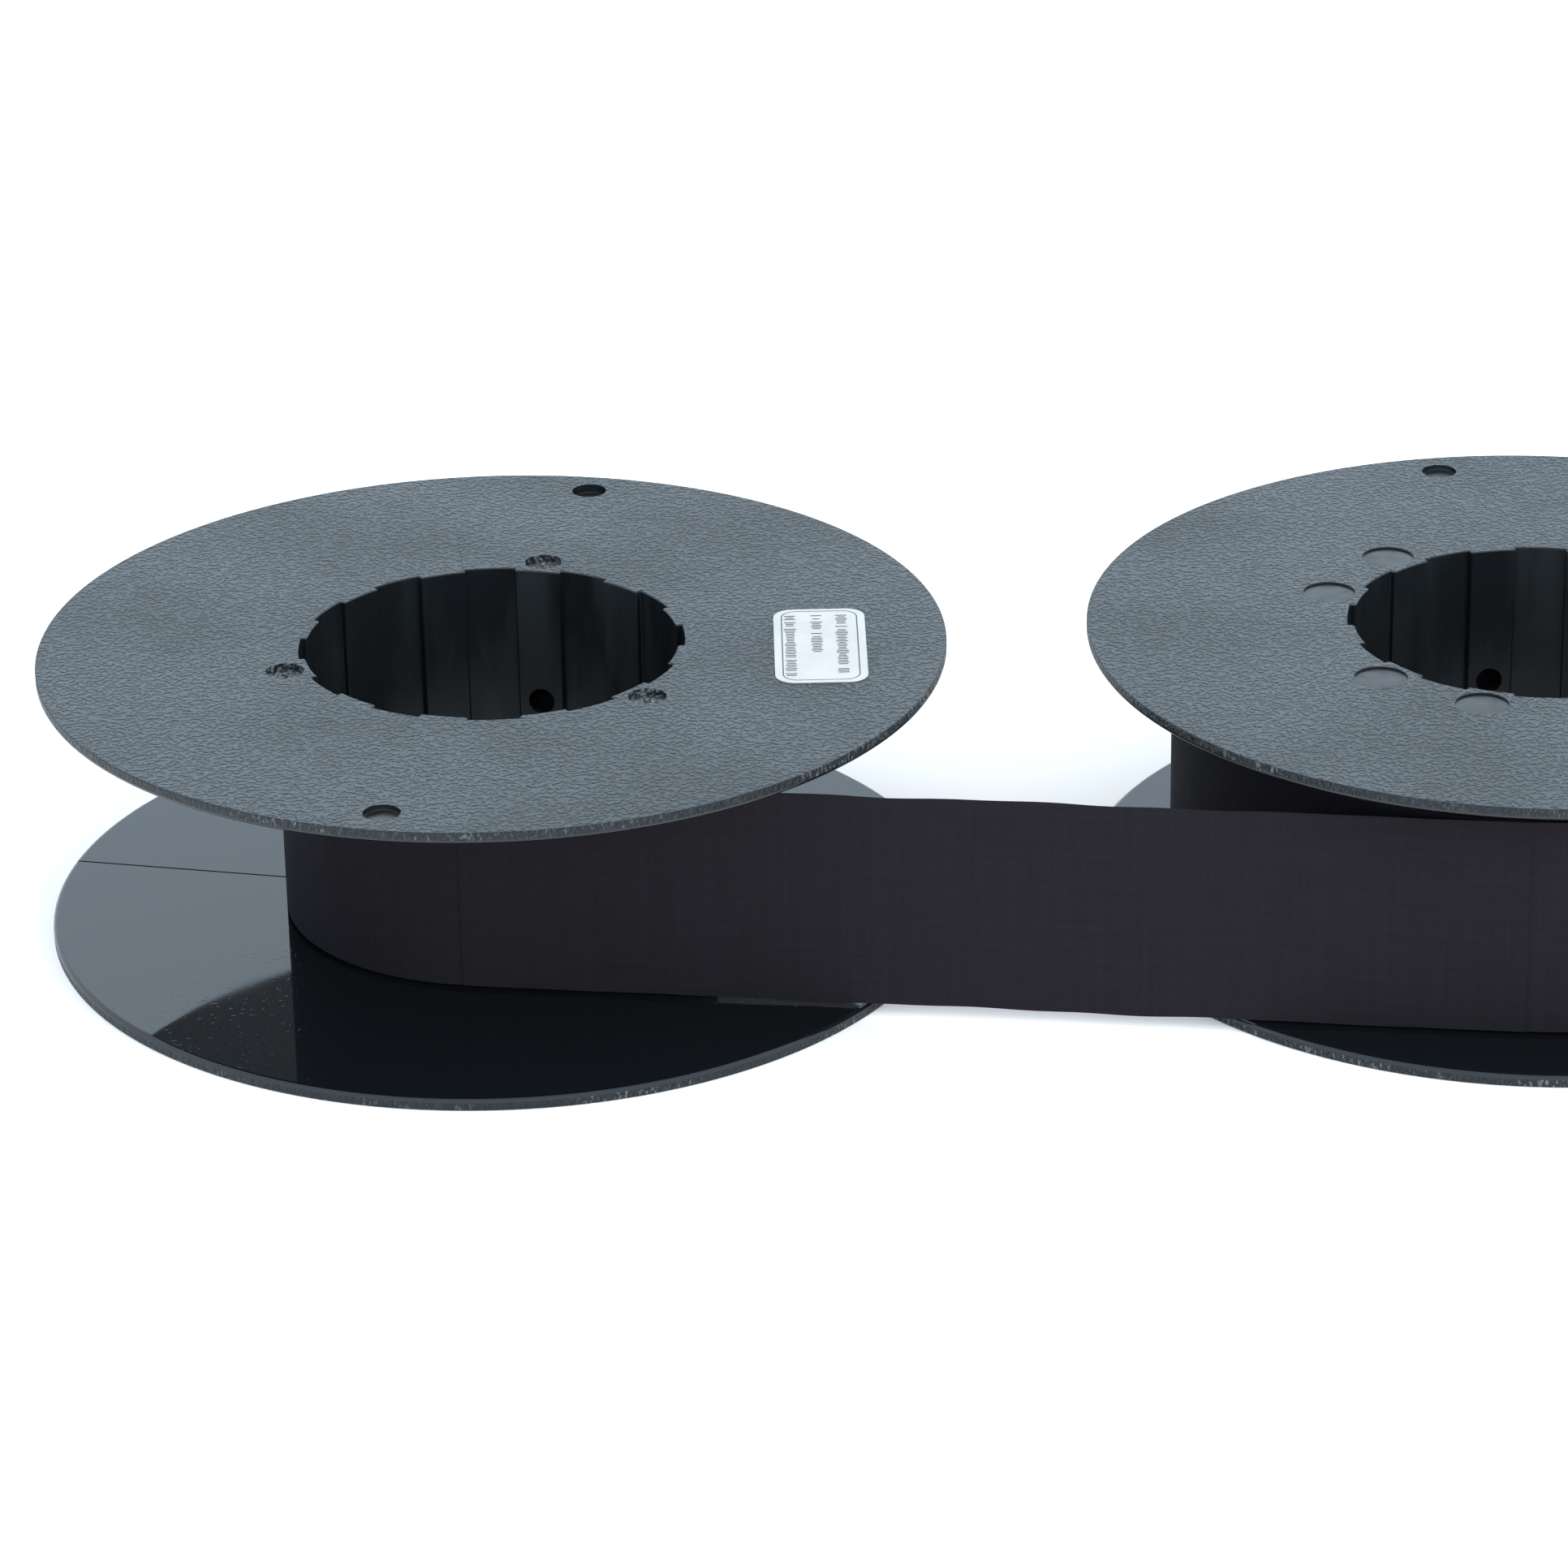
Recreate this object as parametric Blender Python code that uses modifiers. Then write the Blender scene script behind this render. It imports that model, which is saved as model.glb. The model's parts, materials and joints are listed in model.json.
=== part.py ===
"""Twin-spool ribbon set: a woven ribbon wound between two moulded flanged spools.

Both spools are the same one-piece moulding: a splined hub tube with a flange at each end.
The take-up spool stands with its gate face up, the supply spool with its ejector face up.
The ribbon runs along the front (-Y) side, tangent to both windings.
Origin: centre of the resting plane. +X runs from the take-up to the supply spool, +Z up.
"""
import math

import bmesh
import bpy
from mathutils import Matrix, Vector

MM = 0.001
GAP = 0.3 * MM                       # clearance kept between touching pieces

# Spool moulding
SPOOL_HEIGHT = 33.0 * MM
FLANGE_RADIUS = 51.5 * MM
FLANGE_THICKNESS = 1.4 * MM
FLANGE_ROUND = 0.5 * MM              # rounding of the inner edge of the rim
HUB_RADIUS = 23.4 * MM
HUB_FILLET = 0.6 * MM
BORE_LAND_RADIUS = 21.2 * MM
BORE_GROOVE_RADIUS = 21.9 * MM
BORE_GROOVES = 12
GROOVE_ANGLE = math.radians(15.7)
ANCHOR_HOLE_RADIUS = 1.55 * MM       # radial hole through the hub wall at mid height
RIM_HOLE_CIRCLE = 47.0 * MM
RIM_HOLE_RADIUS = 2.0 * MM
RIM_HOLE_DEPTH = 0.65 * MM           # the rim holes are blind
ANCHOR_RIM_HOLE_DEPTH = 1.05 * MM    # the one above the anchor hole, on the gate face
GATE_WELL_CIRCLE = 24.1 * MM
GATE_WELL_RADIUS = 2.2 * MM
GATE_WELL_DEPTH = 0.65 * MM
GATE_WELL_ANGLES = (0, 120, 240)
EJECTOR_CIRCLE = 25.0 * MM
EJECTOR_RADIUS = 3.0 * MM
EJECTOR_DEPTH = 0.25 * MM
EJECTOR_ANGLES = (30, 60, 120, 150, -30, -60, -120, -150)

# Layout of the set: the angle is that of each spool's anchor hole, about +Z from +X
AXIS_SPACING = 119.0 * MM
TAKEUP_X = -AXIS_SPACING / 2
SUPPLY_X = AXIS_SPACING / 2
TAKEUP_ANGLE = math.radians(77.3)
SUPPLY_ANGLE = math.radians(97.6)

# Ribbon
RIBBON_WIDTH = 25.4 * MM
RIBBON_BOTTOM = FLANGE_THICKNESS + GAP
TAKEUP_RADIUS = 24.8 * MM            # middle of the outermost turn on each spool
SUPPLY_RADIUS = 41.9 * MM
SPAN_THICKNESS = 0.2 * MM

# Adhesive tab that fixes the ribbon's inner end to the hub
TAB_THICKNESS = 0.2 * MM
TAB_LENGTH = 20.0 * MM
WINDING_BORE = HUB_RADIUS + GAP + TAB_THICKNESS + GAP

# Reorder label on the take-up spool's upper face
LABEL_SIZE = (10.4 * MM, 21.0 * MM)
LABEL_CENTRE = (37.15 * MM, -3.15 * MM)
LABEL_CORNER = 2.2 * MM
LABEL_THICKNESS = 0.15 * MM
LABEL_GAP = 0.2 * MM

ROUND_STEPS = 72
HOLE_STEPS = 16

PLASTIC = (0.012, 0.014, 0.016)
RIBBON_INK = (0.018, 0.015, 0.018)
PAPER = (0.80, 0.83, 0.84)
TAPE = (0.55, 0.50, 0.38)


def new_collection(name):
    collection = bpy.data.collections.new(name)
    bpy.context.scene.collection.children.link(collection)
    return collection


def principled(name, colour, roughness, metallic=0.0):
    material = bpy.data.materials.new(name)
    material.use_nodes = True
    shader = material.node_tree.nodes["Principled BSDF"]
    shader.inputs["Base Color"].default_value = (*colour, 1.0)
    shader.inputs["Roughness"].default_value = roughness
    shader.inputs["Metallic"].default_value = metallic
    material.diffuse_color = (*colour, 1.0)
    return material


def polar(radius, angle):
    return (radius * math.cos(angle), radius * math.sin(angle))


def arc(radius, start, end, steps):
    """Points on a circle about the origin, both ends included."""
    return [polar(radius, start + (end - start) * i / steps) for i in range(steps + 1)]


def corner(centre, radius, start_deg, end_deg, steps):
    """A rounded corner of a profile or outline."""
    points = []
    for i in range(steps + 1):
        dx, dy = polar(radius, math.radians(start_deg + (end_deg - start_deg) * i / steps))
        points.append((centre[0] + dx, centre[1] + dy))
    return points


def link(name, mesh, collection, material=None):
    obj = bpy.data.objects.new(name, mesh)
    collection.objects.link(obj)
    if material:
        mesh.materials.append(material)
    return obj


def turned(name, profile, collection, material):
    """A closed profile (radius, height), running down its outer side, turned about +Z."""
    mesh = bpy.data.meshes.new(name)
    edges = [(i, (i + 1) % len(profile)) for i in range(len(profile))]
    mesh.from_pydata([(r, 0.0, z) for r, z in profile], edges, [])
    obj = link(name, mesh, collection, material)
    screw = obj.modifiers.new("turn", "SCREW")
    screw.axis = "Z"
    screw.steps = ROUND_STEPS
    screw.render_steps = ROUND_STEPS
    screw.use_merge_vertices = True
    screw.merge_threshold = 0.00001
    return obj


def extruded(name, outline, low, high, collection, material=None):
    """A flat closed outline (x, y) extruded from z = low to z = high."""
    curve = bpy.data.curves.new(name, "CURVE")
    curve.dimensions = "2D"
    curve.fill_mode = "BOTH"
    curve.extrude = (high - low) / 2
    spline = curve.splines.new("POLY")
    spline.points.add(len(outline) - 1)
    for point, (x, y) in zip(spline.points, outline):
        point.co = (x, y, 0.0, 1.0)
    spline.use_cyclic_u = True
    source = bpy.data.objects.new(name + "_outline", curve)
    collection.objects.link(source)
    depsgraph = bpy.context.evaluated_depsgraph_get()
    mesh = bpy.data.meshes.new_from_object(source.evaluated_get(depsgraph))
    bpy.data.objects.remove(source)
    solid = bmesh.new()
    solid.from_mesh(mesh)
    bmesh.ops.remove_doubles(solid, verts=solid.verts, dist=0.00001)
    bmesh.ops.recalc_face_normals(solid, faces=solid.faces)
    bmesh.ops.translate(solid, verts=solid.verts, vec=(0, 0, (low + high) / 2))
    solid.to_mesh(mesh)
    solid.free()
    mesh.name = name
    return link(name, mesh, collection, material)


def add_cylinder(solid, radius, low, high, place):
    """Adds a closed cylinder, along its own Z from low to high, placed by a matrix."""
    middle = Matrix.Translation((0, 0, (low + high) / 2))
    bmesh.ops.create_cone(solid, cap_ends=True, segments=HOLE_STEPS, radius1=radius,
                          radius2=radius, depth=high - low, matrix=place @ middle)


def hollows_cutter(name, collection):
    """Every round hollow of the moulding: rim holes, anchor hole, gate wells, ejector discs."""
    cutter = bmesh.new()
    top = SPOOL_HEIGHT
    past = 1.0 * MM
    for turn, depth in ((0.0, ANCHOR_RIM_HOLE_DEPTH), (math.pi, RIM_HOLE_DEPTH)):
        x, y = polar(RIM_HOLE_CIRCLE, turn)
        add_cylinder(cutter, RIM_HOLE_RADIUS, top - depth, top + past,
                     Matrix.Translation((x, y, 0)))
    add_cylinder(cutter, RIM_HOLE_RADIUS, -past, RIM_HOLE_DEPTH,
                 Matrix.Translation((RIM_HOLE_CIRCLE, 0, 0)))
    for degrees in GATE_WELL_ANGLES:
        x, y = polar(GATE_WELL_CIRCLE, math.radians(degrees))
        add_cylinder(cutter, GATE_WELL_RADIUS, top - GATE_WELL_DEPTH, top + past,
                     Matrix.Translation((x, y, 0)))
    for degrees in EJECTOR_ANGLES:
        x, y = polar(EJECTOR_CIRCLE, math.radians(degrees))
        add_cylinder(cutter, EJECTOR_RADIUS, -past, EJECTOR_DEPTH, Matrix.Translation((x, y, 0)))
    along_x = Matrix.Translation((0, 0, SPOOL_HEIGHT / 2)) @ Matrix.Rotation(math.pi / 2, 4, "Y")
    add_cylinder(cutter, ANCHOR_HOLE_RADIUS, BORE_LAND_RADIUS - 2 * MM, HUB_RADIUS + past, along_x)
    mesh = bpy.data.meshes.new(name)
    cutter.to_mesh(mesh)
    cutter.free()
    return link(name, mesh, collection)


def spline_cutter(name, collection):
    """The bore's outline: lands at the land radius, and twelve wider grooves between them."""
    pitch = 2 * math.pi / BORE_GROOVES
    outline = []
    for k in range(BORE_GROOVES):
        groove = (k + 0.5) * pitch
        outline += arc(BORE_LAND_RADIUS, groove - pitch + GROOVE_ANGLE / 2,
                       groove - GROOVE_ANGLE / 2, 3)
        outline += arc(BORE_GROOVE_RADIUS, groove - GROOVE_ANGLE / 2,
                       groove + GROOVE_ANGLE / 2, 3)
    return extruded(name, outline, -1 * MM, SPOOL_HEIGHT + 1 * MM, collection)


def spool_profile():
    """Half section of the moulding before its bore is cut, down its outer side."""
    top = SPOOL_HEIGHT
    inner_top = top - FLANGE_THICKNESS
    inner_low = FLANGE_THICKNESS
    rim = FLANGE_RADIUS - FLANGE_ROUND
    root = HUB_RADIUS + HUB_FILLET
    core = BORE_LAND_RADIUS - 1 * MM
    profile = [(core, top), (FLANGE_RADIUS, top)]
    profile += corner((rim, inner_top + FLANGE_ROUND), FLANGE_ROUND, 0, -90, 2)
    profile += corner((root, inner_top - HUB_FILLET), HUB_FILLET, 90, 180, 2)
    profile += corner((root, inner_low + HUB_FILLET), HUB_FILLET, 180, 270, 2)
    profile += corner((rim, inner_low - FLANGE_ROUND), FLANGE_ROUND, 90, 0, 2)
    profile += [(FLANGE_RADIUS, 0.0), (core, 0.0)]
    return profile


def cut(obj, cutter, name):
    boolean = obj.modifiers.new(name, "BOOLEAN")
    boolean.operation = "DIFFERENCE"
    boolean.solver = "EXACT"
    boolean.object = cutter


def make_spool(name, axis, gate_face_up, angle, parts, cutters, material):
    """One moulding. Turned over about its anchor hole's direction when the gate face is down."""
    spool = turned(name, spool_profile(), parts, material)
    for cutter in (spline_cutter(name + "_spline", cutters),
                   hollows_cutter(name + "_hollows", cutters)):
        cutter.hide_render = True
        cutter.display_type = "WIRE"
        cutter.parent = spool
        cut(spool, cutter, cutter.name)
    spool.parent = axis
    spool.rotation_euler = (0.0, 0.0, angle)
    if not gate_face_up:
        over = Matrix.Rotation(math.pi, 4, "X")
        lift = Matrix.Translation((0, 0, SPOOL_HEIGHT))
        spool.matrix_local = Matrix.Rotation(angle, 4, "Z") @ lift @ over
    return spool


def make_winding(name, outer_radius, axis, parts, material):
    """The ribbon's turns as one closed ring, a little clear of the hub, flanges and span."""
    low = RIBBON_BOTTOM
    high = RIBBON_BOTTOM + RIBBON_WIDTH
    outer = outer_radius - SPAN_THICKNESS / 2 - GAP
    profile = [(WINDING_BORE, high), (outer, high), (outer, low), (WINDING_BORE, low)]
    winding = turned(name, profile, parts, material)
    winding.parent = axis
    return winding


def make_end_tab(name, angle, axis, parts, material):
    """A strip of tape bent round the hub, under the innermost turn."""
    inner = HUB_RADIUS + GAP
    outer = inner + TAB_THICKNESS
    half = TAB_LENGTH / inner / 2
    outline = arc(outer, angle - half, angle + half, 8) + arc(inner, angle + half, angle - half, 8)
    tab = extruded(name, outline, RIBBON_BOTTOM, RIBBON_BOTTOM + RIBBON_WIDTH, parts, material)
    tab.parent = axis
    return tab


def span_normal():
    """Outward normal of the straight run, which is tangent to the front of both windings."""
    rise = (SUPPLY_RADIUS - TAKEUP_RADIUS) / AXIS_SPACING
    return Vector((-rise, -math.sqrt(1 - rise * rise)))


def make_span(name, parts, material):
    """The ribbon's straight run between its two tangent points."""
    normal = span_normal()
    start = Vector((TAKEUP_X, 0)) + normal * TAKEUP_RADIUS
    end = Vector((SUPPLY_X, 0)) + normal * SUPPLY_RADIUS
    half = normal * SPAN_THICKNESS / 2
    outline = [tuple(start + half), tuple(end + half), tuple(end - half), tuple(start - half)]
    return extruded(name, outline, RIBBON_BOTTOM, RIBBON_BOTTOM + RIBBON_WIDTH, parts, material)


def make_label(name, axis, parts, material):
    """A small rounded sticker lying on the upper flange."""
    half_x = LABEL_SIZE[0] / 2
    half_y = LABEL_SIZE[1] / 2
    outline = []
    for sign_x, sign_y, start in ((1, 1, 0), (-1, 1, 90), (-1, -1, 180), (1, -1, 270)):
        centre = (LABEL_CENTRE[0] + sign_x * (half_x - LABEL_CORNER),
                  LABEL_CENTRE[1] + sign_y * (half_y - LABEL_CORNER))
        outline += corner(centre, LABEL_CORNER, start, start + 90, 4)
    low = SPOOL_HEIGHT + LABEL_GAP
    label = extruded(name, outline, low, low + LABEL_THICKNESS, parts, material)
    label.parent = axis
    return label


def shade_round(obj):
    obj.data.shade_smooth()
    obj.data.set_sharp_from_angle(angle=math.radians(35))


def make_axis(name, x, collection):
    axis = bpy.data.objects.new(name, None)
    axis.location = (x, 0, 0)
    collection.objects.link(axis)
    return axis


def main():
    for obj in list(bpy.data.objects):
        bpy.data.objects.remove(obj)
    parts = new_collection("ribbon_spool_set")
    cutters = new_collection("cutters")
    takeup = make_axis("takeup_axis", TAKEUP_X, parts)
    supply = make_axis("supply_axis", SUPPLY_X, parts)

    plastic_left = principled("takeup_spool_plastic", PLASTIC, 0.35)
    plastic_right = principled("supply_spool_plastic", PLASTIC, 0.35)
    spools = [
        make_spool("takeup_spool", takeup, True, TAKEUP_ANGLE, parts, cutters, plastic_left),
        make_spool("supply_spool", supply, False, SUPPLY_ANGLE, parts, cutters, plastic_right),
    ]
    windings = [
        make_winding("takeup_winding", TAKEUP_RADIUS, takeup, parts,
                     principled("takeup_winding_ink", RIBBON_INK, 0.8)),
        make_winding("supply_winding", SUPPLY_RADIUS, supply, parts,
                     principled("supply_winding_ink", RIBBON_INK, 0.8)),
    ]
    make_end_tab("takeup_end_tab", TAKEUP_ANGLE + math.pi, takeup, parts,
                 principled("takeup_end_tape", TAPE, 0.5))
    make_end_tab("supply_end_tab", SUPPLY_ANGLE + math.pi, supply, parts,
                 principled("supply_end_tape", TAPE, 0.5))
    make_span("ribbon_span", parts, principled("ribbon_span_ink", RIBBON_INK, 0.8))
    make_label("reorder_label", takeup, parts, principled("reorder_label_paper", PAPER, 0.4))
    for obj in spools + windings:
        shade_round(obj)


main()
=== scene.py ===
# %% [markdown]
# # A twin-spool printer ribbon
#
# The object is one long strip of inked, woven nylon wound between two black plastic spools.
# Each spool is a single moulding: a splined hub tube with a flange at each end.
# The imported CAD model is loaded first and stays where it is. Everything below builds the
# looks around it, in the same frame, in metres, with +Z up.

# %% Load the frame
import json
import math
import random

import bmesh
import bpy
from mathutils import Matrix, Vector


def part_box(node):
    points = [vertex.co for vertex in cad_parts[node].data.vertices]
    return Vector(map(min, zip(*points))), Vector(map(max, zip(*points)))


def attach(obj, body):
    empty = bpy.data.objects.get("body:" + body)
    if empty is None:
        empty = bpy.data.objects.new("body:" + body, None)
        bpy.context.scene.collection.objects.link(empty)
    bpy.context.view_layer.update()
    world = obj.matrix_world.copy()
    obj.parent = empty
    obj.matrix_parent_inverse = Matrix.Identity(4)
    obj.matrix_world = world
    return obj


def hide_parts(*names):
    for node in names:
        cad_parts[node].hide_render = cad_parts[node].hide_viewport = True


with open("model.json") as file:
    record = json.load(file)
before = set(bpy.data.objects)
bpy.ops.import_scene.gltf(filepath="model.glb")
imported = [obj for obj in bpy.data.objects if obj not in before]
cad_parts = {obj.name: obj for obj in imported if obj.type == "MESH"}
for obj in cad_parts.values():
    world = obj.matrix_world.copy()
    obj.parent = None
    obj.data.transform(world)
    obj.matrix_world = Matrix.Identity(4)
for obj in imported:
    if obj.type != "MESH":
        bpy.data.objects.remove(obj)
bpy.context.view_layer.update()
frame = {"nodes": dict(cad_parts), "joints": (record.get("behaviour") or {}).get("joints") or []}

# %% [markdown]
# ## Sizes
#
# The frame says where the two spools turn, how tall they are and how wide the ribbon is, so
# those are read from it. The moulding's main sizes are named here once, for both spools.

# %% Sizes
MM = 0.001
JOINT_AT = {joint["child"]: Vector(joint["pos_m"]) for joint in frame["joints"]}
TAKEUP_AXIS = Vector((JOINT_AT["takeup"].x, JOINT_AT["takeup"].y, 0))
SUPPLY_AXIS = Vector((JOINT_AT["supply"].x, JOINT_AT["supply"].y, 0))
SPOOL_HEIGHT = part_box("takeup_spool")[1].z
FLANGE_RADIUS = 51.5 * MM
FLANGE_THICKNESS = 1.4 * MM
HUB_RADIUS = 23.4 * MM
TAKEUP_ANGLE = math.radians(77.3)     # direction of the anchor hole, about +Z from +X
SUPPLY_ANGLE = math.radians(97.6)
RIBBON_LOW, RIBBON_HIGH = (corner.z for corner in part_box("ribbon_span"))
RIBBON_WIDTH = RIBBON_HIGH - RIBBON_LOW
TAKEUP_RADIUS = 24.8 * MM             # radius of the outermost turn on each spool
SUPPLY_RADIUS = 41.9 * MM
print("spool height", SPOOL_HEIGHT, "ribbon width", RIBBON_WIDTH)

# %% [markdown]
# ## Camera
#
# A long lens from a little above, aimed almost along +Y. The camera's axes are worked out
# from three angles and put into its matrix as columns: right, up and backwards.

# %% Camera
CAMERA_PLACE = Vector((-31.4, -618.5, 295.5)) * MM
CAMERA_HEADING = math.radians(0.436)
CAMERA_DIP = math.radians(24.43)
CAMERA_ROLL = math.radians(-1.0)
CAMERA_LENS = 136.1
CAMERA_SENSOR = 36


def camera_matrix(place, heading, dip, roll):
    forward = Vector((math.sin(heading) * math.cos(dip), math.cos(heading) * math.cos(dip),
                      -math.sin(dip)))
    level = forward.cross(Vector((0, 0, 1))).normalized()
    above = level.cross(forward)
    right = math.cos(roll) * level + math.sin(roll) * above
    up = math.cos(roll) * above - math.sin(roll) * level
    turned = Matrix((right, up, -forward)).transposed().to_4x4()
    return Matrix.Translation(place) @ turned


camera = bpy.data.objects.new("camera", bpy.data.cameras.new("camera"))
bpy.context.scene.collection.objects.link(camera)
camera.data.lens = CAMERA_LENS
camera.data.sensor_width = CAMERA_SENSOR
camera.matrix_world = camera_matrix(CAMERA_PLACE, CAMERA_HEADING, CAMERA_DIP, CAMERA_ROLL)
bpy.context.scene.camera = camera
print("camera", camera.data.lens, "mm")

# %% [markdown]
# ## Helpers
#
# Two helpers put an object in the scene and turn a bmesh skin into a mesh. The others are for
# shaders. The room, the floor and every finish below are a shader with a few texture nodes in
# front of it. The helpers make a node, set its inputs by name and wire it up, so that each
# finish reads as a short list. Values that are the same all over go straight on the shader's
# sockets. Where a texture drives a socket, the plain value under it is only a fallback.

# %% Helpers
MIX_FIRST, MIX_SECOND, MIX_RESULT = 6, 7, 2     # a Mix node's colour sockets, found by place


def add_object(name, data):
    thing = bpy.data.objects.new(name, data)
    bpy.context.scene.collection.objects.link(thing)
    return thing


def mesh_from(skin, name):
    mesh = bpy.data.meshes.new(name)
    skin.to_mesh(mesh)
    skin.free()
    return mesh


def new_material(name, colour, roughness, specular_tint=(1, 1, 1), specular=0.5):
    material = bpy.data.materials.new(name)
    material.use_nodes = True
    shader = material.node_tree.nodes["Principled BSDF"]
    shader.inputs["Base Color"].default_value = (*colour, 1)
    shader.inputs["Roughness"].default_value = roughness
    shader.inputs["Specular Tint"].default_value = (*specular_tint, 1)
    shader.inputs["Specular IOR Level"].default_value = specular
    return material, material.node_tree, shader


def add_node(tree, kind, inputs=None, **settings):
    node = tree.nodes.new(kind)
    for name, value in settings.items():
        setattr(node, name, value)
    for name, value in (inputs or {}).items():
        if isinstance(value, bpy.types.NodeSocket):
            tree.links.new(value, node.inputs[name])
        else:
            node.inputs[name].default_value = value
    return node


def math_node(tree, operation, first, second=0.0):
    return add_node(tree, "ShaderNodeMath", {0: first, 1: second}, operation=operation).outputs[0]


def remap(tree, value, low, high, to_low=0.0, to_high=1.0):
    """Carry low..high onto to_low..to_high along a smooth step."""
    node = add_node(tree, "ShaderNodeMapRange", {
        "Value": value, "From Min": low, "From Max": high, "To Min": to_low, "To Max": to_high},
        interpolation_type="SMOOTHSTEP")
    return node.outputs["Result"]


def noise(tree, place, scale, detail=2.0, roughness=0.5):
    node = add_node(tree, "ShaderNodeTexNoise", {
        "Vector": place, "Scale": scale, "Detail": detail, "Roughness": roughness})
    return node.outputs["Fac"]


def object_place(tree):
    return add_node(tree, "ShaderNodeTexCoord").outputs["Object"]


def stretched_place(tree, place, scale):
    node = add_node(tree, "ShaderNodeMapping", {"Vector": place, "Scale": scale})
    return node.outputs["Vector"]


def mix_colours(tree, factor, first, second):
    node = add_node(tree, "ShaderNodeMix", {"Factor": factor}, data_type="RGBA")
    node.inputs[MIX_FIRST].default_value = (*first, 1)
    node.inputs[MIX_SECOND].default_value = (*second, 1)
    return node.outputs[MIX_RESULT]


def add_bump(tree, shader, height, distance, strength=1.0, before=None):
    inputs = {"Height": height, "Distance": distance, "Strength": strength}
    if before is not None:
        inputs["Normal"] = before
    bump = add_node(tree, "ShaderNodeBump", inputs)
    tree.links.new(bump.outputs["Normal"], shader.inputs["Normal"])
    return bump.outputs["Normal"]


def vary_roughness(tree, shader, texture, low, high, smoothest, roughest):
    value = remap(tree, texture, low, high, smoothest, roughest)
    tree.links.new(value, shader.inputs["Roughness"])


def vary_colour(tree, shader, factor, first, second):
    tree.links.new(mix_colours(tree, factor, first, second), shader.inputs["Base Color"])


print("helpers ready")

# %% [markdown]
# ## Studio
#
# Black plastic shows almost nothing but what it mirrors, so the room matters more than the
# lamps: an even bright room turns the black flanges slate grey at this low angle. The room is
# a little cooler low down, where the flanges mirror it, than overhead, where the floor and the
# label are lit from. The floor glows a little, as a lit table does, so that shadows stay faint.
#
# One broad soft light stands to the right, in front, so that the free span of ribbon is a
# little paler than the part tucked between the flanges. It is left out of mirror reflections,
# because from behind it would bleach the polished flanges.

# %% Studio
ROOM_LOW_COLOUR = (1.30, 1.55, 1.78)
ROOM_HIGH_COLOUR = (1.30, 1.35, 1.38)
ROOM_CHANGE = (0.45, 0.85)           # heights on a unit globe between which the colour turns
FLOOR_COLOUR = (0.95, 0.95, 0.95)
FLOOR_ROUGHNESS = 0.9
FLOOR_GLOW = 0.15
FLOOR_HALF_SIZE = 4
FLOOR_GAP = 0.05 * MM
SIDE_LIGHT_PLACE = (0.7, -0.6, 0.35)
SIDE_LIGHT_TARGET = (0.02, 0, 0.015)
SIDE_LIGHT_POWER = 8.0
SIDE_LIGHT_SIZE = 0.5


def make_room():
    """A room whose colour runs from cool near the horizon to neutral overhead."""
    world = bpy.data.worlds.new("room")
    world.use_nodes = True
    tree = world.node_tree
    direction = add_node(tree, "ShaderNodeTexCoord").outputs["Generated"]
    height = add_node(tree, "ShaderNodeSeparateXYZ", {"Vector": direction}).outputs["Z"]
    rise = remap(tree, height, *ROOM_CHANGE)
    colour = mix_colours(tree, rise, ROOM_LOW_COLOUR, ROOM_HIGH_COLOUR)
    tree.links.new(colour, tree.nodes["Background"].inputs["Color"])
    bpy.context.scene.world = world


def make_floor():
    sheet = bmesh.new()
    bmesh.ops.create_grid(sheet, x_segments=1, y_segments=1, size=FLOOR_HALF_SIZE)
    floor = add_object("floor", mesh_from(sheet, "floor"))
    floor.location.z = -FLOOR_GAP
    material, _, shader = new_material("floor_paper", FLOOR_COLOUR, FLOOR_ROUGHNESS)
    shader.inputs["Emission Color"].default_value = (1, 1, 1, 1)
    shader.inputs["Emission Strength"].default_value = FLOOR_GLOW
    floor.data.materials.append(material)


def make_side_light():
    lamp = bpy.data.lights.new("soft_side", "AREA")
    lamp.energy = SIDE_LIGHT_POWER
    lamp.size = SIDE_LIGHT_SIZE
    light = add_object("soft_side", lamp)
    light.location = SIDE_LIGHT_PLACE
    towards = Vector(SIDE_LIGHT_TARGET) - Vector(SIDE_LIGHT_PLACE)
    light.rotation_euler = towards.to_track_quat("-Z", "Y").to_euler()
    light.visible_glossy = False


make_room()
make_floor()
make_side_light()
bpy.context.scene.view_settings.view_transform = "Standard"
print("room", ROOM_LOW_COLOUR, "to", ROOM_HIGH_COLOUR, "side light", SIDE_LIGHT_POWER)

# %% [markdown]
# ## The moulded plastic's finishes
#
# One black plastic carries six finishes, because each face of the mould was finished in its
# own way. The outer faces have a fine leather grain of short wandering furrows. The inner
# faces, which guide the ribbon, are polished like a mirror. The rim is spark-eroded and
# rough, the bore is satin with drag marks along the axis, the gate wells are coarse, and the
# ejector discs are smooth and a little duller than polish.
#
# The grain is a fine noise pressed flat: below one level it is floor, above another it is
# land, and the steep bands between are the furrows' walls. Seen from low down, the walls that
# face the viewer turn dark, which draws short wandering strokes. The same noise also paints
# shade into the colour: the furrow floors are painted darker and the lands paler.

# %% Plastic finishes
PLASTIC = (0.0050, 0.0064, 0.0075)
PLASTIC_SHEEN = (0.92, 1.0, 1.06)
GRAIN_SCALE = 1750
GRAIN_DEPTH = 0.34 * MM
GRAIN_FLOOR, GRAIN_LAND = 0.38, 0.60
# Painted shade: the grain's furrow floors are coloured darker and its lands paler.
GRAIN_FURROW_PAINTED_SHADE, GRAIN_LAND_PAINTED_LIGHT = (0.008, 0.011, 0.013), (0.026, 0.033, 0.037)
RIM_PALE_SPECK = (0.11, 0.12, 0.125)
TORN_CHIP = (0.13, 0.145, 0.15)


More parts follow.
